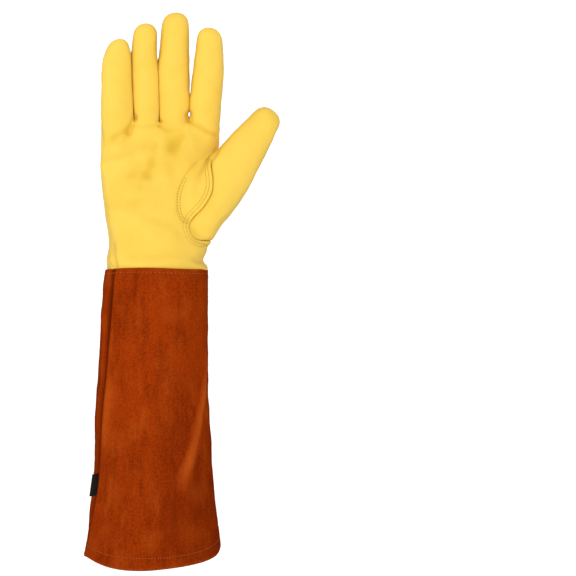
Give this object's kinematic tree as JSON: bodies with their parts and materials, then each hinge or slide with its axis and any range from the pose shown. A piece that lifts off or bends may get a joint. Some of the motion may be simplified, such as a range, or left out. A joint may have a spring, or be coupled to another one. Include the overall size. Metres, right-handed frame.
{
  "type": "rose pruning gauntlet",
  "caption": "Right-hand pruning glove with a smooth grain leather hand and a long flared suede cuff that guards the forearm against thorns",
  "frame": {"origin": "centre of the cuff's open mouth, in the plane of the hem, where the forearm holds the glove up", "axes": "+Z from the cuff's mouth to the fingertips, palm faces -Y, thumb on the +X side"},
  "size_m": [0.1672, 0.14, 0.4588],
  "materials": {
    "hand_leather": "soft smooth golden yellow grain leather with a low sheen",
    "cuff_suede": "matt brushed rust brown split suede with mottled nap",
    "label_tape": "plain black woven tape"
  },
  "bodies": {
    "root": {"palm": "hand_leather", "back": "hand_leather", "thumb": "hand_leather", "thumb_gusset": "hand_leather", "fourchette_little_ring": "hand_leather", "fourchette_ring_middle": "hand_leather", "fourchette_middle_index": "hand_leather", "cuff_palm_panel": "cuff_suede", "cuff_back_panel": "cuff_suede", "tag": "label_tape"}
  },
  "joints": []
}
